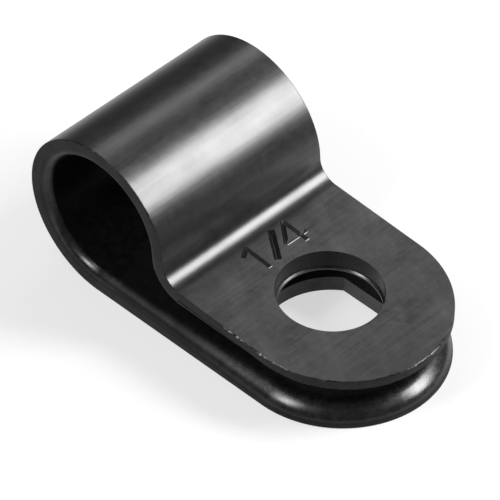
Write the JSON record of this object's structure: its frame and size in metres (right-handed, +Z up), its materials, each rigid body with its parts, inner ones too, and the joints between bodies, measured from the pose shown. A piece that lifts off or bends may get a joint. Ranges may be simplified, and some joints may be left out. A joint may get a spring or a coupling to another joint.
{
  "type": "p clip",
  "caption": "Moulded nylon P clip: a round loop holds the cable, and flat tongues with aligned holes are screwed down together.",
  "frame": {"origin": "on the base plane, straight under the loop's axis, in the middle of the strap's width", "axes": "+X from the loop to the tongues' tips, +Y along the cable, +Z up from the base"},
  "size_m": [0.0195, 0.01, 0.0083],
  "materials": {
    "black_nylon": "satin black nylon as moulded, with fine lines across the strap"
  },
  "bodies": {
    "root": {"p_clip": "black_nylon"}
  },
  "joints": []
}
